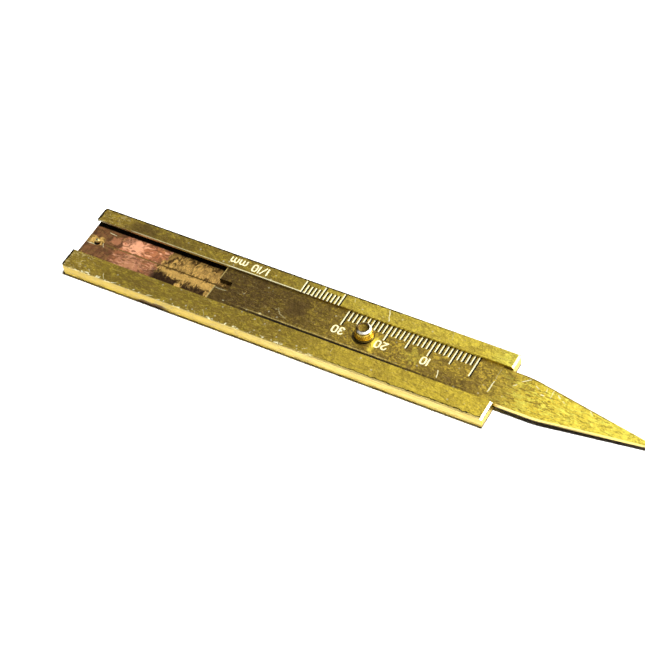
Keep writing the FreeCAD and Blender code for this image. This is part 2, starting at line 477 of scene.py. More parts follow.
def spilled(g: Graph) -> Socket:
    """Draw the dark spill that has dried on the near side, low down and towards the rear.

    Args:
        g: The material's graph.

    Returns:
        Its mask.
    """
    wander = g.wander((0.35, 0.5, 0.8), 3.0, 87.0)
    height = g.plus(g.z, g.times(wander, SPILL.ragged))
    along = g.band(g.x, *SPILL.x, SPILL.soft)
    return g.times(along, g.step(height, *SPILL_TOP), g.step(g.y, *SPILL.y), SPILL.strength)


def flanked(g: Graph, side: object, seam: Spot) -> Socket:
    """Lay rolled layers, the dried spill and the seam between two strips over an outer side's colour.

    Args:
        g: The material's graph.
        side: The side's own colour.
        seam: The seam's lower and upper height, in millimetres.

    Returns:
        The finished side's colour.
    """
    layers = g.step(g.noise((0.25, 1.0, 5.0), 3.0, 60.0, 0.6), 0.40, 0.62)
    side = g.mix(g.times(layers, 0.75), side, TONES.ochre)
    side = g.mix(spilled(g), side, TONES.soot)
    seams = g.times(g.band(g.z, *seam, 0.02), g.blend(layers, 0.25, 0.75))
    return g.mix(seams, side, TONES.brown)


@dataclass(frozen=True)
class Wear:
    """Marks that all the old brass shares: stains, rubs, fine scratches and specks.

    Attributes:
        seed: A shift that gives each use its own pattern.
        stain: How strong the stains are.
        rub: How strong the rubbed places and scratches are.
        specks: How strong the pale specks are.
        hairs: Each set of scratches: its direction, length and width, a shift of seed, and its level.
    """

    seed: float
    stain: float = 0.55
    rub: float = 0.5
    specks: float = 0.5
    hairs: tuple[tuple[Point, float, float], ...] = (
        ((4.0, 2.6, 0.12), 1.0, 0.67),
        ((-9.0, 1.6, 0.14), 2.0, 0.69),
        ((71.0, 1.5, 0.14), 6.0, 0.73),
        ((-58.0, 1.1, 0.14), 8.0, 0.74),
    )

    def stained(self, g: Graph, base: object, dark: Colour = TONES.umber,
                light: Colour = TONES.bright) -> Socket:
        """Lay stains, scratches and specks over a colour.

        Args:
            g: The material's graph.
            base: The colour under them.
            dark: The stains' colour.
            light: The rubbed places' colour.

        Returns:
            The stained colour.
        """
        blotches = g.step(g.noise((0.30, 0.45, 0.4), 5.0, self.seed, 0.62, 0.6), 0.47, 0.57)
        base = g.mix(g.times(blotches, self.stain * 0.8), base, dark)
        clouds = g.step(g.noise((0.55, 1.0, 0.9), 4.0, self.seed + 15.0, 0.66, 1.2), 0.52, 0.60)
        base = g.mix(g.times(clouds, self.rub), base, light)
        spots = g.step(g.noise((0.9, 1.6, 1.5), 4.0, self.seed + 3.0, 0.72, 1.0), 0.50, 0.57)
        base = g.mix(g.times(spots, self.stain), base, dark)
        pits = g.step(g.noise((3.0, 3.6, 3.4), 3.0, self.seed + 4.0, 0.7, 0.5), 0.56, 0.64)
        base = g.mix(g.times(pits, self.stain * 0.6), base, dark)
        rubs = g.step(g.noise((0.8, 2.8, 2.0), 4.0, self.seed + 5.0, 0.7, 1.2), 0.55, 0.63)
        base = g.mix(g.times(rubs, self.rub), base, light)
        hairs = g.union(*(g.hairs(*way, self.seed + shift, share) for way, shift, share in self.hairs))
        base = g.mix(g.times(hairs, self.rub), base, TONES.pale)
        return g.mix(g.times(g.specks(0.5, 0.15, self.seed), self.specks), base, TONES.cut)

    def relief(self, g: Graph, grain: object) -> Socket:
        """Raise the grain on a softly uneven face.

        Args:
            g: The material's graph.
            grain: The fine grain's pattern.

        Returns:
            The normal's socket.
        """
        uneven = g.noise((0.5, 0.9, 0.9), 3.0, self.seed + 9.0)
        pitted = g.noise((2.2, 3.4, 3.0), 3.0, self.seed + 11.0)
        normal = g.bump(uneven, 0.16)
        normal = g.bump(pitted, 0.055, normal)
        return g.bump(grain, 0.014, normal)


def engraved(g: Graph, base: object, top: float, reach: object = 1.0) -> tuple:
    """Colour what is cut below a top face: the side of each groove that faces +X gets a pale painted
    highlight, and its other side painted shade in black.

    Args:
        g: The material's graph.
        base: The colour of the top face.
        top: The top face's height in millimetres.
        reach: A mask of where engraving may be, a number or a socket.

    Returns:
        The colour with its engraving, and the mask of its painted highlight.
    """
    below = g.times(g.step(g.z, top - 0.002, top - 0.008), g.step(g.z, top - 0.2, top - 0.17))
    inside = g.times(below, reach, g.upward(0.25, 0.35))
    # Painted light: the groove side facing +X is pale, the side facing -X black.
    shaded = g.step(g.facing[0], -0.15, -0.25)
    pale = g.times(inside, g.less(1.0, shaded))
    base = g.mix(g.times(inside, shaded), base, TONES.black)
    return g.mix(pale, base, TONES.fill), pale


@dataclass(frozen=True)
class RailFinish:
    """The covers, spacers and outer sides: olive tarnish that clears towards the front end, with part of
    that brightening painted light.
    """

    name: str = "rail_brass"
    clear_from: float = -20.0
    clear_to: float = 52.0
    dull: tuple[float, float, float, float] = (-43.0, -38.0, -2.0, 20.0)
    top: float = 2.6
    outer: float = 9.25
    rear: float = -49.75
    lip: Spot = (5.4, 5.68)
    seam: Spot = (2.06, 2.13)
    front_line: Spot = (1.84, 2.19)
    brighter: Spot = (-25.0, 20.0)
    seed: float = 3.0
    channel: Spot = (-5.35, 6.7)
    stains: tuple[Patch, ...] = (
        Patch((-42.5, -36.0), (5.0, 8.6), 1.2, 0.75, 1.5),
        Patch((-37.0, -26.0), (5.0, 7.8), 1.5, 0.45, 1.5),
        Patch((-37.0, -29.0), (-8.4, -5.0), 1.5, 0.3, 2.0),
    )
    marks: Spot = (-19.0, 11.0)
    opening: float = 5.55
    scratches: tuple[Scratch, ...] = (
        Scratch((11.95, 9.2), (12.45, 7.6), 0.16, 0.5),
        Scratch((19.95, 9.3), (21.25, 5.8), 0.26, 0.9),
        Scratch((34.75, 9.1), (35.25, 6.8), 0.16, 0.5),
        Scratch((8.45, -8.2), (9.45, -7.4), 0.18, 0.6),
        Scratch((14.25, -5.2), (14.2, -6.5), 0.16, 0.5),
        Scratch((-43.6, -7.6), (-42.7, -8.6), 0.16, 0.7),
        Scratch((-40.2, -7.4), (-39.2, -8.9), 0.16, 0.7),
        Scratch((-15.6, -7.3), (-14.6, -8.6), 0.16, 0.5),
    )

    def build(self) -> bpy.types.Material:
        """Build the material.

        Returns:
            The finished material.
        """
        g = Graph(self.name)
        # Olive at the rear to bright at the front: partly tarnish, partly painted light that brightens the
        # front end.
        cleared_and_lit = g.step(g.x, self.clear_from, self.clear_to, Fade.LINEAR)
        base = g.mix(cleared_and_lit, TONES.olive, TONES.bright)
        dull = g.times(g.step(g.x, self.dull[0], self.dull[1]), g.step(g.x, self.dull[3], self.dull[2]))
        base = g.mix(dull, base, TONES.drab)
        # Painted sunlight on the far rail's top, with a painted lemon highlight near its front end.
        far = g.step(g.y, 4.0, 6.0)
        base = g.mix(g.times(far, g.step(g.x, -15.0, 25.0), 0.45), base, TONES.sunlit)
        base = g.mix(g.times(far, g.step(g.x, 42.0, 49.0), 0.9), base, TONES.lemon)
        wear = Wear(self.seed, 0.42, 0.35)
        base = g.mix(patched(g, self.stains, 90.0), wear.stained(g, base), TONES.brown)
        rear = g.step(g.noise((0.6, 2.4, 1.0), 5.0, 93.0, 0.72, 1.2), 0.48, 0.54)
        base = g.mix(g.times(rear, g.step(g.x, -39.0, -44.0), 0.7), base, TONES.umber)
        blooms = g.step(g.noise((0.8, 1.6, 1.0), 4.0, 96.0, 0.7, 1.0), 0.54, 0.60)
        base = g.mix(g.times(blooms, g.step(g.x, -41.0, -45.0), 0.7), base, TONES.pale)
        scuffs = g.step(g.noise((0.8, 1.2, 1.2), 2.0, 81.0, 0.6, 1.0), 0.56, 0.60)
        chips = g.times(g.step(g.y, 0.9 - self.outer, 0.4 - self.outer), g.step(g.x, 20.0, 5.0))
        scratches = g.union(scratched(g, self.scratches), g.times(scuffs, chips))
        base = g.mix(scratches, base, TONES.fill)
        wobble = g.times(g.wander((0.8, 0.8, 0.8), 3.0, 50.0), 0.8)
        along_y = g.plus(g.y, wobble)
        upward, upper = g.upward(), g.upward(0.2, 0.4)
        # Painted shade: dark lines along the far and rear edges and just inside the near top edge.
        far_edge = g.times(g.step(along_y, self.outer - 0.46, self.outer - 0.30), g.step(g.x, 45.0, 15.0))
        far_edge = g.times(g.union(far_edge, g.step(g.y, self.outer - 0.16, self.outer - 0.08)), upper)
        rear_edge = g.step(g.plus(g.x, wobble), self.rear + 0.50, self.rear + 0.30)
        rear_edge = g.times(rear_edge, g.blend(upper, 0.6, 1.0))
        drift = g.plus(along_y, g.times(wobble, 0.6))
        near_edge = g.times(g.band(drift, 0.38 - self.outer, 0.58 - self.outer, 0.05),
                            g.step(g.x, 8.0, 20.0), g.step(g.z, self.top - 0.14, self.top - 0.10))
        # Painted highlights: pale along the near outer edge, and pale or cut-bright on the faces that slope
        # towards the front.
        bevel = g.times(g.step(g.facing[0], 0.4, 0.6), upward)
        near_edge_highlight = g.times(g.step(g.y, 0.44 - self.outer, 0.32 - self.outer), g.step(g.x, 0.0, 20.0))
        near_edge_highlight = g.union(near_edge_highlight, g.step(g.y, 0.20 - self.outer, 0.12 - self.outer))
        base = g.mix(g.times(near_edge_highlight, upward, 0.8), base, TONES.pale)
        base = g.mix(bevel, base, g.mix(g.step(g.y, -1.0, 1.0), TONES.cut, TONES.pale))
        # The far cover's inner top edge is pale: partly wear, partly a painted highlight.
        worn_edge_highlight = g.times(g.step(g.y, self.opening + 0.32, self.opening + 0.16), g.step(g.y, 4.0, 5.0),
                            g.band(g.x, -41.0, 3.5, 0.8), g.blend(g.step(g.x, -17.5, -16.0), 0.5, 0.95),
                            upward)
        base = g.mix(worn_edge_highlight, base, TONES.fill)
        # A dark seam line at the front end.
        front = g.times(g.step(g.x, 49.6, 49.7), g.band(g.z, *self.front_line, 0.02),
                        g.band(g.y, -8.3, -3.5, 0.3))
        # Painted shade, partly dirt, along the foot, and painted shade on the channel's inner walls under
        # the covers.
        foot = g.step(g.z, 0.20, 0.12)
        inner = g.times(g.band(g.y, *self.channel, 0.05), g.step(g.z, self.top - 0.45, self.top - 0.55),
                        g.step(g.x, 46.0, 40.0))
        painted_shade_and_grime = g.union(far_edge, rear_edge, near_edge, front, foot, inner)
        # The far cover's inner lip face takes painted light: a pale painted highlight towards the rear,
        # ochre turning to painted sunlight towards the front.
        lips = g.times(g.band(g.y, *self.lip, 0.04), g.step(g.z, self.top - 0.5, self.top - 0.4),
                       g.step(g.facing[1], -0.5, -0.9))
        pale_lips = g.times(lips, g.step(g.x, 6.0, 0.0))
        sides = g.step(g.math("ABSOLUTE", g.facing[1]), 0.8, 0.95)
        flank = g.mix(g.step(g.x, *self.brighter), TONES.ochre, TONES.straw)
        base = g.mix(sides, base, flanked(g, flank, self.seam))
        front_lips = g.mix(g.step(g.x, 4.0, 26.0), TONES.ochre, TONES.sunlit)
        base = g.mix(lips, base, g.mix(pale_lips, front_lips, TONES.fill))
        # Black for the painted shade lines and the front seam.
        base = g.mix(g.times(painted_shade_and_grime, 0.94), base, TONES.black)
        g.feed(g.shader, Specular_IOR_Level=g.blend(painted_shade_and_grime, 0.5, 0.05))
        reach = g.times(g.band(g.x, *self.marks, 0.1), g.band(g.y, self.opening, self.outer - 0.2, 0.01))
        base, pale = engraved(g, base, self.top, reach)
        grain = g.noise((0.5, 8.0, 4.0), 4.0, 12.0, 0.7)
        roughness = g.blend(grain, 0.30, 0.46)
        tarnish = g.blend(cleared_and_lit, 0.82, 0.95)
        pale = g.union(pale, g.times(worn_edge_highlight, 0.6))
        # Scratches and the pale painted highlights are made less metallic.
        matt_scratch_and_highlight = g.union(pale, g.times(scratches, 0.7), g.times(lips, 0.6))
        metal = g.times(tarnish, g.less(1.0, matt_scratch_and_highlight))
        return g.finish(base, roughness, wear.relief(g, grain), metal)


@dataclass(frozen=True)
class TongueFinish:
    """The tongue: dark and rubbed where the covers wipe it, bright with brush marks, painted sunlight and
    painted sheen on the nose, with painted highlights and shade.
    """

    name: str = "tongue_brass"
    top: float = 2.05
    clear_from: float = 44.0
    clear_to: float = 60.0
    nose: float = 47.7
    seam: Spot = (-3.95, -3.30)
    rubbed: Spot = (-3.18, -2.96)
    seed: float = 31.0
    scratches: tuple[Scratch, ...] = (
        Scratch((47.55, 4.7), (47.55, 1.3), 0.16, 0.4),
        Scratch((47.6, 1.3), (47.5, -2.0), 0.34, 1.0),
        Scratch((35.95, -0.9), (36.65, -3.1), 0.34, 1.0),
        Scratch((54.25, 4.8), (52.55, 3.3), 0.34, 0.9),
        Scratch((52.15, 2.4), (51.25, 1.5), 0.34, 0.8),
        Scratch((57.2, 2.0), (58.3, 2.0), 0.42, 1.0),
        Scratch((59.45, 4.2), (59.45, 1.8), 0.28, 0.75),
        Scratch((60.4, 3.4), (61.5, 2.7), 0.32, 0.9),
        Scratch((55.4, 3.7), (56.7, 3.1), 0.32, 0.8),
        Scratch((57.9, 4.1), (58.1, 2.9), 0.3, 0.75),
        Scratch((61.9, 2.4), (62.6, 1.9), 0.24, 0.8),
        Scratch((67.9, 2.6), (68.9, 1.6), 0.24, 0.8),
        Scratch((-13.6, -3.0), (-12.9, -3.0), 0.5, 1.0),
        Scratch((-4.9, -3.0), (-3.9, -3.0), 0.7, 1.0),
        # The next mark is a painted highlight along the slot's near edge.
        Scratch((-17.0, -0.5), (-13.9, -0.4), 0.3, 0.45),
        Scratch((-1.8, 0.2), (-0.4, -1.6), 0.3, 0.35),
        Scratch((-1.0, -1.2), (1.2, -1.9), 0.3, 0.3),
    )
    smudges: tuple[Patch, ...] = (
        Patch((-0.3, 4.2), (-0.4, 4.0), 1.0, 0.85, 0.8),
        Patch((-17.2, -13.0), (-3.6, -1.0), 0.8, 0.7, 0.8),
        Patch((4.0, 6.6), (-2.2, 0.2), 0.8, 0.4, 0.8),
        Patch((33.0, 44.0), (-3.6, -1.6), 0.8, 0.45, 1.2),
    )
    glints: tuple[Patch, ...] = (
        Patch((20.2, 21.4), (-2.6, 1.6), 0.5, 1.0, 0.5),
        Patch((27.5, 31.0), (-1.0, 1.2), 0.7, 0.35, 3.0),
    )
    knob: Spot = (18.15, 0.9)
    knob_dirt_and_shadow: Spot = (2.43, 2.28)
    shade: float = 1.16
    slot: Spot = (-0.05, 2.15)
    slot_end: float = -13.4
    rear: float = -17.05
    far_corner: Spot = (54.45, 5.2)
    point: Spot = (82.09, 0.21)
    outlined: Spot = (50.0, 73.0)

    def build(self) -> bpy.types.Material:
        """Build the material.

        Returns:
            The finished material.
        """
        g = Graph(self.name)
        cleared_and_lit = g.step(g.x, self.clear_from, self.clear_to)
        dulled = g.mix(g.step(g.x, -8.0, 20.0), TONES.brown, TONES.dusk)
        wear = Wear(self.seed, 0.5, 0.35, 0.4)
        dulled = wear.stained(g, dulled, TONES.brown, TONES.olive)
        strokes = g.noise((0.8, 2.6, 2.0), 5.0, 14.0, 0.72, 1.4)
        flecks = g.step(g.noise((0.9, 1.1, 1.0), 3.0, 52.0, 0.65, 1.2), 0.54, 0.58)
        dulled = g.mix(g.times(flecks, g.step(g.x, -12.0, 25.0), 0.75), dulled, TONES.worn)
        # Painted sunlight: the nose brightens towards its tip.
        brushed_and_sunlit = g.mix(g.step(g.x, 55.0, 80.0), TONES.bright, TONES.sunlit)
        dashes = g.step(g.noise((0.55, 1.9, 1.5), 3.0, 21.0, 0.6, 0.9), 0.52, 0.55)
        deep = g.blend(g.step(g.x, 66.0, 52.0), 0.55, 0.9)
        brushed_and_sunlit = g.mix(g.times(dashes, deep), brushed_and_sunlit, TONES.umber)
        # Painted sheen: lemon patches on the nose.
        painted_sheen = g.step(g.noise((0.5, 1.7, 1.4), 3.0, 57.0, 0.6, 1.0), 0.53, 0.57)
        brushed_and_sunlit = g.mix(g.times(painted_sheen, 0.9), brushed_and_sunlit, TONES.lemon)
        base = g.mix(cleared_and_lit, dulled, brushed_and_sunlit)
        base = g.mix(patched(g, self.smudges, 40.0), base, TONES.brown)
        base = g.mix(patched(g, self.glints, 44.0), base, TONES.sunlit)
        scratches = scratched(g, self.scratches)
        base = g.mix(scratches, base, TONES.fill)
        behind = g.step(g.x, self.nose, self.nose - 1.5)
        # Painted shade: a dark line on the tongue along the near cover's edge, fading towards the front.
        seam = g.times(g.band(g.y, *self.seam, 0.05), behind, g.step(g.x, -18.0, 0.0),
                       g.blend(g.step(g.x, 22.0, 44.0), 1.0, 0.25))
        # A pale line beside it: partly rubbed, partly a painted highlight.
        rubbed = g.times(g.band(g.y, *self.rubbed, 0.05), g.band(g.x, -8.0, 26.0, 3.0), 0.6)
        base = g.mix(rubbed, base, TONES.pale)
        # Painted reflection: the side faces are paled as if lit by the floor.
        sides = g.step(g.math("ABSOLUTE", g.facing[1]), 0.5, 0.8)
        base = g.mix(g.times(sides, 0.8), base, TONES.pale)
        # Painted highlight along the tongue's rear edge.
        edge = g.times(g.step(g.x, self.rear + 0.28, self.rear + 0.16), 0.8)
        base = g.mix(edge, base, TONES.pale)
        # Painted shadow, partly dirt: a dark ring on the tongue round the knob's foot.
        around = g.times(g.step(g.away(self.knob[0] - 0.2, self.knob[1] - 0.25), *self.knob_dirt_and_shadow), 0.9)
        # Painted shade: the slot's walls are blackened.
        walls = g.times(g.band(g.y, *self.slot, 0.04), g.step(g.math("ABSOLUTE", g.facing[2]), 0.4, 0.2),
                        g.step(g.x, self.slot_end + 0.2, self.slot_end))
        # Painted shade: the lower part of the nose's sides is blackened, and the underside is painted dark
        # brown, which keeps the shade under the nose dark.
        low = g.times(g.step(g.z, self.shade + 0.05, self.shade - 0.05), g.step(g.x, 78.0, 60.0),
                      g.step(g.facing[2], -0.8, -0.5))
        base = g.mix(g.step(g.facing[2], -0.3, -0.5), base, TONES.brown)
        # Painted shade: a dark line along the nose's far top edge.
        slope = (self.point[1] - self.far_corner[1]) / (self.point[0] - self.far_corner[0])
        level = self.far_corner[1] - slope * self.far_corner[0]
        edge_y = g.math("MINIMUM", self.far_corner[1], g.plus(g.times(g.x, slope), level))
        outline = g.times(g.step(g.less(edge_y, g.y), 0.34, 0.22), g.band(g.x, *self.outlined, 1.5),
                          g.upward(), 0.8)
        base = g.mix(outline, base, TONES.umber)
        # Black for the painted shade lines and the knob's shadow ring, partly dirt.
        painted_shade_and_grime = g.union(seam, walls, low, around)
        base = g.mix(g.times(painted_shade_and_grime, 0.95), base, TONES.black)
        base, pale = engraved(g, base, self.top, behind)
        roughness = g.blend(strokes, 0.26, 0.44)
        # Scratches and the pale painted highlights are made less metallic.
        matt_scratch_and_highlight = g.union(pale, g.times(scratches, 0.7))
        metal = g.times(g.blend(cleared_and_lit, 0.88, 0.97), g.less(1.0, matt_scratch_and_highlight))
        return g.finish(base, roughness, wear.relief(g, strokes), metal)


@dataclass(frozen=True)
class FloorFinish:
    """The base plate: a pink bloom lies on its floor behind the slide, and its sides match the rails."""

    name: str = "floor_brass"
    floor: float = 0.8
    channel: Spot = (-5.4, 6.75)
    far_shade: Spot = (5.1, 5.5)
    near_shade: Spot = (-4.0, -4.4)
    line: Spot = (0.93, 1.2)
    seam: Spot = (0.74, 0.80)
    brighter: Spot = (-25.0, 20.0)
    seed: float = 2.0
    rose: tuple[Patch, ...] = (Patch((-43.0, -31.4), (-5.0, 6.0), 0.35, 0.95, 1.4),)
    pink: tuple[Patch, ...] = (
        Patch((-41.8, -36.5), (1.6, 5.2), 0.6, 0.9, 1.6),
        Patch((-40.5, -34.5), (-3.6, 0.2), 0.8, 0.5, 2.0),
    )
    plum: tuple[Patch, ...] = (
        Patch((-50.0, -42.0), (-6.0, 7.0), 0.5, 0.95, 1.0),
        Patch((-41.5, -39.0), (3.6, 6.0), 0.5, 0.5, 1.2),
    )
    gold: tuple[Patch, ...] = (
        Patch((-49.7, -46.1), (0.4, 2.5), 0.4, 0.8, 0.5),
        Patch((-30.8, -15.0), (-0.9, 0.75), 0.3, 0.9, 0.7),
        Patch((-27.5, -16.5), (1.5, 4.0), 0.5, 0.55, 1.6),
    )
    ghost: tuple[Patch, ...] = (Patch((-44.8, -42.5), (1.9, 4.0), 0.25, 0.4, 0.5),)
    scores: tuple[Scratch, ...] = (
        Scratch((-49.6, 0.3), (-46.9, 0.3), 0.26, 0.8),
        Scratch((-46.2, 4.6), (-44.2, 4.3), 0.22, 0.6),
        Scratch((-46.0, 1.3), (-45.2, 0.2), 0.2, 0.6),
    )
    pin: Spot = (-47.05, 1.05)
    pin_dirt_and_shadow: Spot = (0.79, 0.65)
    dark: tuple[Patch, ...] = (
        Patch((-31.5, -25.5), (-6.0, -1.1), 0.3, 0.98, 0.8),
        Patch((-24.0, -18.5), (-6.0, -1.4), 0.4, 0.9, 0.9),
        Patch((-32.2, -28.4), (-6.0, -0.4), 0.6, 0.8, 0.8),
        Patch((-35.0, -31.0), (-6.0, -2.4), 0.6, 0.5, 1.4),
        Patch((-31.5, -29.4), (1.2, 6.0), 0.5, 0.35, 1.2),
        Patch((-45.1, -44.9), (1.6, 4.3), 0.2, 0.6, 0.7),
        Patch((-42.4, -42.1), (1.3, 4.4), 0.25, 0.7, 0.8),
        Patch((-45.2, -42.6), (4.2, 4.4), 0.2, 0.6, 0.7),
        # Painted shade: the last patch is a dark strip across the floor's rear end.
        Patch((-50.0, -49.0), (-6.0, 7.0), 0.3, 0.6, 0.5),
    )

    def build(self) -> bpy.types.Material:
        """Build the material.

        Returns:
            The finished material.
        """
        g = Graph(self.name)
        streaks = g.noise((0.9, 0.45, 1.0), 4.0, 5.0, 0.65, 1.5)
        lively = g.blend(g.step(g.x, -16.0, -12.0), 1.0, 0.3)
        base = g.mix(g.step(streaks, 0.47, 0.55), TONES.brown, TONES.gold)
        base = g.mix(lively, TONES.umber, base)
        base = g.mix(patched(g, self.gold, 4.0), base, TONES.gold)
        grit = g.step(g.noise((2.2, 0.9, 1.0), 4.0, 66.0, 0.7, 1.4), 0.48, 0.57)
        base = g.mix(g.times(grit, g.blend(g.step(g.y, 0.5, 1.1), 0.2, 0.6)), base, TONES.russet)
        pink = patched(g, self.rose, 12.0)
        bloom = g.mix(patched(g, self.pink, 26.0), TONES.rose, TONES.salmon)
        bloom = g.mix(g.step(g.noise((0.5, 1.1, 1.0), 3.0, 33.0, 0.6, 1.2), 0.52, 0.57), bloom, TONES.salmon)
        veins = g.step(g.noise((0.4, 0.8, 1.0), 4.0, 8.0, 0.66, 1.8), 0.50, 0.56)
        bloom = g.mix(g.times(veins, 0.75), bloom, TONES.plum)
        # Painted shade: the bloom darkens over the channel's near half.
        bloom = g.mix(g.times(g.step(g.y, 1.4, 0.6), 0.45), bloom, TONES.plum)
        base = g.mix(pink, base, bloom)
        plum = patched(g, self.plum, 16.0)
        cloudy = g.step(g.noise((0.5, 0.8, 1.0), 4.0, 37.0, 0.66, 1.6), 0.46, 0.54)
        faded = g.step(g.noise((0.4, 0.9, 1.0), 4.0, 39.0, 0.66, 1.2), 0.54, 0.60)
        clouds = g.mix(faded, g.mix(cloudy, TONES.plum, TONES.soot), TONES.wine)
        base = g.mix(plum, base, clouds)
        rear_gold = patched(g, self.gold[:1], 4.0)
        mottled = g.step(g.noise((1.1, 1.1, 1.0), 4.0, 64.0, 0.7, 1.0), 0.46, 0.58)
        base = g.mix(rear_gold, base, g.mix(mottled, TONES.gold, TONES.umber))
        base = g.mix(patched(g, self.ghost, 27.0), base, TONES.pink)
        base = g.mix(scratched(g, self.scores), base, TONES.fill)
        # Painted shadow, partly dirt: a dark ring on the floor round the pin's foot.
        around = g.step(g.away(self.pin[0] - 0.12, self.pin[1] - 0.12), *self.pin_dirt_and_shadow)
        base = g.mix(around, base, TONES.black)
        base = g.mix(patched(g, self.dark, 20.0), base, g.mix(0.5, TONES.soot, TONES.black))
        base = g.mix(g.times(g.band(g.y, *self.line, 0.06), g.step(g.x, -45.2, -44.8)), base, TONES.brown)
        covered = g.union(g.step(g.y, *self.far_shade), g.step(g.y, *self.near_shade))
        base = g.mix(g.times(covered, 0.97), base, TONES.black)
        above = g.step(g.z, self.floor - 0.2, self.floor - 0.15)
        inside = g.times(g.upward(), above, g.band(g.y, *self.channel, 0.02))
        wear = Wear(self.seed)
        side = wear.stained(g, g.mix(g.step(g.x, *self.brighter), TONES.ochre, TONES.straw))
        # Painted shade, partly dirt: black along the foot, and darker faces towards the rear.
        foot = g.times(g.step(g.z, 0.20, 0.12), g.step(g.facing[2], -0.8, -0.5))
        foot = g.union(foot, g.times(g.step(g.facing[0], -0.3, -0.5), 0.6))
        side = g.mix(g.times(foot, 0.94), flanked(g, side, self.seam), TONES.black)
        colour = g.mix(inside, side, base)
        oxide = g.times(g.union(pink, plum), g.less(inside, g.times(rear_gold, 0.8)))
        grain = g.noise((1.5, 3.0, 2.0), 4.0, 25.0)
        metal = g.blend(oxide, 0.85, 0.15)
        g.feed(g.shader, Specular_IOR_Level=0.15)
        return g.finish(colour, g.blend(grain, 0.3, 0.5), wear.relief(g, grain), metal)


@dataclass(frozen=True)
class KnobFinish:
    """The thumb knob: polished flanks, a dull dish, a painted highlight on the rim's lit side, painted shade
    on the flank away from the light and on the dish's wall, and painted shade, partly dirt, in its neck and
    at its foot.
    """

    name: str = "knob_brass"
    colour: Colour = (0.97, 0.66, 0.10)
    foot: float = 0.56
    neck: Spot = (1.72, 2.02)
    rim: Spot = (2.12, 2.6)
    dish: float = 1.22
    wall: float = 0.97
    top: float = 2.5

    def build(self, centre: Vector, seat: float) -> bpy.types.Material:
        """Build the material.

        Args:
            centre: The knob's axis, in millimetres.
            seat: The height that the knob stands on, in millimetres.

        Returns:
            The finished material.
        """
        g = Graph(self.name)
        height = g.less(g.z, seat)
        away = g.away(centre.x, centre.y)
        rings = g.noise((0.3, 0.3, 14.0), 3.0, 6.0)
        base = g.mix(g.times(rings, 0.4), self.colour, TONES.worn)
        cloudy = g.step(g.noise((1.6, 1.6, 1.6), 4.0, 71.0, 0.7, 1.2), 0.46, 0.58)
        dished = g.times(g.step(away, self.dish + 0.06, self.dish - 0.04),
                        g.step(height, self.top - 0.4, self.top - 0.35))
        rubbed = g.band(height, *self.rim, 0.05)
        toward_lit_side = g.less(g.less(g.x, centre.x), g.times(g.less(g.y, centre.y), 0.5))
        # Painted shade on the flank away from the light.
        base = g.mix(g.times(g.step(toward_lit_side, -0.9, -1.9), 0.85), base, TONES.brown)
        # Painted highlight on the rim's lit side, painted shade on its other side.
        base = g.mix(rubbed, base, g.mix(g.step(toward_lit_side, -0.6, 0.2), TONES.umber, TONES.silver))
        base = g.mix(dished, base, g.mix(cloudy, TONES.umber, TONES.olive))
        # Painted shade on the dish's inner wall.
        base = g.mix(g.times(dished, g.step(away, self.wall, self.wall + 0.1)), base, TONES.brown)
        # Painted shade, partly dirt, at the foot and in the neck under the rim.
        foot = g.step(height, self.foot + 0.03, self.foot - 0.03)
        neck = g.band(height, *self.neck, 0.03)
        base = g.mix(g.times(g.union(foot, neck), 0.9), base, TONES.black)
        roughness = g.blend(dished, g.blend(rings, 0.12, 0.24), 0.34)
        return g.finish(base, roughness, g.bump(cloudy, 0.01, g.bump(rings, 0.01)))


@dataclass(frozen=True)
class PinFinish:
    """The stop pin: a filed and rubbed brass wire end."""

    name: str = "pin_brass"
    shade: Spot = (1.25, 1.1)

    def build(self) -> bpy.types.Material:
        """Build the material.

        Returns:
            The finished material.
        """
        g = Graph(self.name)
        filed = g.noise((2.0, 5.0, 4.0), 4.0, 6.0, 0.7)
        base = g.mix(g.step(filed, 0.42, 0.62), TONES.cut, TONES.worn)
        base = g.mix(g.step(g.z, *self.shade), base, TONES.black)
        return g.finish(base, g.blend(filed, 0.2, 0.36), g.bump(filed, 0.02))


@dataclass(frozen=True)
class BronzeFinish:
    """Dull rolled bronze strip."""

    name: str = "spring_bronze"
    dark: Colour = (0.42, 0.22, 0.10)
    light: Colour = (0.60, 0.36, 0.18)

    def build(self) -> bpy.types.Material:
        """Build the material.

        Returns:
            The finished material.
        """
        g = Graph(self.name)
        grain = g.noise((1.0, 14.0, 6.0), 4.0, 17.0)
        base = g.mix(grain, self.dark, self.light)
        return g.finish(base, g.blend(grain, 0.3, 0.5), g.bump(grain, 0.01))


def dress(node: str, material: bpy.types.Material) -> None:
    """Give a CAD node its finish.

    Args:
        node: The node's name.
        material: The material that it takes.
    """
    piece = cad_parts[node]
    piece.data.materials.clear()
    piece.data.materials.append(material)
    log.info("dressed %s with %s", node, material.name)


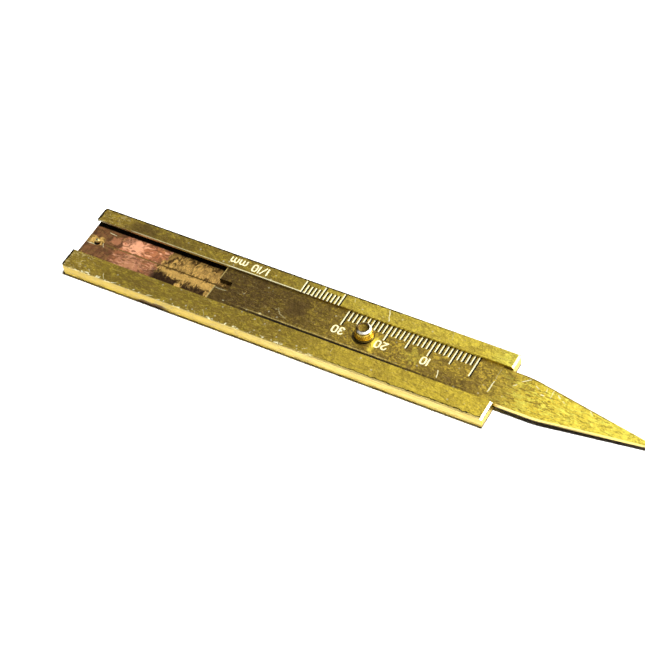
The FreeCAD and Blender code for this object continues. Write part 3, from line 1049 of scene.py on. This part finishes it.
@dataclass
class Turning:
    """A small piece turned on a lathe, drawn out from a disc ring by ring.

    Attributes:
        node: The CAD node that it stands for.
        body: The body that it rides on.
        slot: The record's slot for its finish; not used.
        profile: Each ring's radius, and its height over the node's foot, in millimetres.
        sides: How many straight sides make up its round.
        softened: The width that its sharp edges are rounded to, in millimetres.
        steps: How many faces make up each rounded edge.
        sharp: The least angle that counts as a sharp edge, in degrees.
        smooth: The largest angle that is shaded smooth, in degrees.
    """

    node: str
    body: Body
    slot: Slot
    profile: tuple[Spot, ...]
    sides: int = 96
    softened: float = 0.03
    steps: int = 3
    sharp: float = 28.0
    smooth: float = 32.0

    def axis(self) -> Vector:
        """Find the piece's axis.

        Returns:
            The middle of the node's foot, in metres.
        """
        low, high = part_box(self.node)
        return Vector(((low.x + high.x) / 2, (low.y + high.y) / 2, low.z))

    def build(self, material: bpy.types.Material) -> None:
        """Model the piece and put it in the CAD node's place.

        Args:
            material: Its finish.
        """
        axis = self.axis()
        radius, height = self.profile[0]
        bpy.ops.object.select_all(action="DESELECT")
        bpy.ops.mesh.primitive_circle_add(
            vertices=self.sides, radius=radius * MM, fill_type="NGON",
            location=(axis.x, axis.y, axis.z + height * MM))
        piece = bpy.context.object
        piece.name = f"{self.node}_turned"
        bpy.ops.object.transform_apply(location=True, rotation=True, scale=True)
        bpy.ops.object.mode_set(mode="EDIT")
        bpy.ops.mesh.select_all(action="SELECT")
        for next_radius, next_height in self.profile[1:]:
            rise = (next_height - height) * MM
            bpy.ops.mesh.extrude_region_move(TRANSFORM_OT_translate={"value": (0.0, 0.0, rise)})
            spread = next_radius / radius
            middle = (axis.x, axis.y, axis.z + next_height * MM)
            bpy.ops.transform.resize(value=(spread, spread, 1.0), center_override=middle)
            radius, height = next_radius, next_height
        bpy.ops.mesh.select_all(action="SELECT")
        bpy.ops.mesh.normals_make_consistent(inside=False)
        bpy.ops.object.mode_set(mode="OBJECT")
        bpy.ops.object.modifier_add(type="BEVEL")
        bevel = piece.modifiers[-1]
        bevel.width = self.softened * MM
        bevel.segments = self.steps
        bevel.limit_method = "ANGLE"
        bevel.angle_limit = math.radians(self.sharp)
        bpy.ops.object.modifier_apply(modifier=bevel.name)
        bpy.ops.object.shade_smooth_by_angle(angle=math.radians(self.smooth))
        piece.data.materials.append(material)
        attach(piece, self.body.value)
        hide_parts(self.node)
        log.info("turned %s", piece.name)


@dataclass
class ChannelBody:
    """The built-up body: floor, side strips, covers and the zero stop's pin."""

    strips: tuple[str, ...] = ("near_spacer", "far_spacer", "near_cover", "far_cover")
    pin: tuple[Spot, ...] = (
        (0.50, 0.0), (0.50, 1.48), (0.48, 1.58), (0.42, 1.68), (0.32, 1.75), (0.20, 1.79), (0.06, 1.80))

    def build(self) -> None:
        """Dress the body's pieces and turn its pin."""
        rail = RailFinish().build()
        for node in self.strips:
            dress(node, rail)
        dress("base_plate", FloorFinish().build())
        Turning("stop_pin", Body.CHANNEL, Slot.PIN, self.pin).build(PinFinish().build())


@dataclass
class Slide:
    """The tongue with its knob, rivet and spring."""

    tongue: float = 1.2
    shank: float = 0.9
    knob: tuple[Spot, ...] = (
        (2.06, 0.0), (2.20, 0.10), (2.20, 0.24), (2.04, 0.40), (2.04, 0.52), (2.10, 0.60), (2.00, 0.90),
        (1.88, 1.30), (1.78, 1.62), (1.66, 1.74), (1.56, 1.78), (1.56, 1.92), (1.66, 1.97), (1.70, 2.06),
        (1.64, 2.18), (1.36, 2.46), (1.28, 2.50), (1.20, 2.50), (1.12, 2.38), (1.0, 2.32), (0.66, 2.28),
        (0.25, 2.26), (0.05, 2.255))

    def build(self) -> None:
        """Dress the slide's pieces and turn its knob."""
        tongue = TongueFinish().build()
        dress("tongue", tongue)
        dress("spring_rivet", tongue)
        dress("friction_spring", BronzeFinish().build())
        above = tuple((radius, height + self.tongue) for radius, height in self.knob)
        shank = ((self.shank, 0.0), (self.shank, self.tongue))
        knob = Turning("thumb_knob", Body.SLIDE, Slot.KNOB, shank + above)
        axis = knob.axis() / MM
        knob.build(KnobFinish().build(axis, axis.z + self.tongue))


@dataclass(frozen=True)
class Lamp:
    """One soft rectangular light.

    Attributes:
        name: Its name.
        spot: Where it hangs, in millimetres.
        size: Its width and height in millimetres.
        power: Its power in watts.
        gloss: Whether the metal shows its reflection.
        matt: Whether it lights what isn't shiny.
    """

    name: str
    spot: Point
    size: Spot
    power: float
    gloss: bool = True
    matt: bool = True


@dataclass
class Studio:
    """A pale floor, soft lights and the camera."""

    azimuth: float = 33.419
    elevation: float = 48.484
    roll: float = -6.403
    distance: float = 488.3
    target: Point = (7.652, 1.866, 0.0)
    lens: float = 131.36
    sensor: float = 36.0
    clip: Spot = (10.0, 50000.0)
    floor_size: float = 6000.0
    floor_colour: Colour = (0.93, 0.93, 0.93)
    floor_roughness: float = 0.9
    window: Point = (0.75, 0.50, 0.43)
    window_edges: Spot = (0.20, 0.56)
    window_glow: Spot = (0.05, 1.60)
    window_side: Spot = (0.05, 0.40)
    front_side: Spot = (-0.10, -0.55)
    front_glow: float = 0.7
    front_rise: Spot = (0.15, 0.50)
    softbox: Point = (0.62, -0.42, 0.66)
    softbox_edges: Spot = (0.80, 0.93)
    softbox_glow: float = 1.6
    lamps: tuple[Lamp, ...] = (
        Lamp("overhead", (20.0, 80.0, 715.0), (60.0, 60.0), 9.8, gloss=False),
        Lamp("window", (480.0, 260.0, 255.0), (300.0, 240.0), 2.4, matt=False),
    )

    def camera(self) -> None:
        """Place the camera on its long lens, turned a little about its own axis."""
        turn, lift, roll = (math.radians(a) for a in (self.azimuth, self.elevation, self.roll))
        back = Vector((math.sin(turn) * math.cos(lift), -math.cos(turn) * math.cos(lift), math.sin(lift)))
        level = Vector((math.cos(turn), math.sin(turn), 0.0))
        upright = back.cross(level)
        right = level * math.cos(roll) + upright * math.sin(roll)
        up = upright * math.cos(roll) - level * math.sin(roll)
        data = bpy.data.cameras.new("camera")
        data.lens = self.lens
        data.sensor_width = self.sensor
        data.clip_start, data.clip_end = (reach * MM for reach in self.clip)
        camera = bpy.data.objects.new("camera", data)
        bpy.context.scene.collection.objects.link(camera)
        turned = Matrix((right, up, back)).transposed().to_4x4()
        spot = (Vector(self.target) + back * self.distance) * MM
        camera.matrix_world = Matrix.Translation(spot) @ turned
        bpy.context.scene.camera = camera

    def floor(self) -> None:
        """Lay a pale floor under the gauge."""
        bpy.ops.object.select_all(action="DESELECT")
        bpy.ops.mesh.primitive_plane_add(size=self.floor_size * MM, location=(0.0, 0.0, 0.0))
        floor = bpy.context.object
        floor.name = "studio_floor"
        material = bpy.data.materials.new("studio_floor")
        material.use_nodes = True
        shader = next(n for n in material.node_tree.nodes if n.type == "BSDF_PRINCIPLED")
        shader.inputs["Base Color"].default_value = (*self.floor_colour, 1.0)
        shader.inputs["Roughness"].default_value = self.floor_roughness
        floor.data.materials.append(material)

    def area(self, lamp: Lamp) -> None:
        """Hang a soft rectangular light that faces the gauge.

        Args:
            lamp: The light.
        """
        data = bpy.data.lights.new(lamp.name, "AREA")
        data.shape = "RECTANGLE"
        data.size, data.size_y = (side * MM for side in lamp.size)
        data.energy = lamp.power
        light = bpy.data.objects.new(lamp.name, data)
        light.location = Vector(lamp.spot) * MM
        direction = Vector(self.target) - Vector(lamp.spot)
        light.rotation_euler = direction.to_track_quat("-Z", "Y").to_euler()
        light.visible_glossy = lamp.gloss
        light.visible_diffuse = lamp.matt
        bpy.context.scene.collection.objects.link(light)

    def world(self) -> None:
        """Surround the gauge with a dim room: a window behind it, a softbox, and a low glow in front."""
        world = bpy.data.worlds.new("studio")
        bpy.context.scene.world = world
        world.use_nodes = True
        world.cycles_visibility.diffuse = False
        room = Nodes(world.node_tree)
        background = next(n for n in room.tree.nodes if n.type == "BACKGROUND")
        way = room.add("TexCoord").outputs["Generated"]
        axes = room.add("SeparateXYZ", Vector=way)
        window = room.step(self.toward(room, way, self.window), *self.window_edges)
        window = room.times(window, room.step(axes.outputs["Y"], *self.window_side))
        dim, glow = self.window_glow
        softbox = room.step(self.toward(room, way, self.softbox), *self.softbox_edges)
        front = room.times(room.step(axes.outputs["Y"], *self.front_side), self.front_glow)
        front = room.times(front, room.step(axes.outputs["Z"], *self.front_rise, Fade.LINEAR))
        brightest = room.union(room.times(softbox, self.softbox_glow), front)
        level = room.plus(room.times(window, glow - dim), dim)
        room.feed(background, Color=(1.0, 1.0, 1.0, 1.0), Strength=room.plus(level, brightest))

    def toward(self, room: Nodes, way: Socket, aim: Point) -> Socket:
        """Measure how closely a direction of the room points at something.

        Args:
            room: The room's nodes.
            way: The direction.
            aim: Where the thing is, from the gauge.

        Returns:
            The cosine between them.
        """
        node = room.add("VectorMath", Vector=way)
        node.operation = "DOT_PRODUCT"
        node.inputs[1].default_value = Vector(aim).normalized()
        return node.outputs["Value"]

    def build(self) -> None:
        """Set up the whole studio."""
        self.camera()
        self.floor()
        self.world()
        for lamp in self.lamps:
            self.area(lamp)
        bpy.context.scene.view_settings.view_transform = "Standard"


def main() -> None:
    """Build the studio and the looks."""
    logging.basicConfig(level=logging.INFO)
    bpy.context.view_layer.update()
    Studio().build()
    ChannelBody().build()
    Slide().build()


if __name__ == "__main__":
    main()
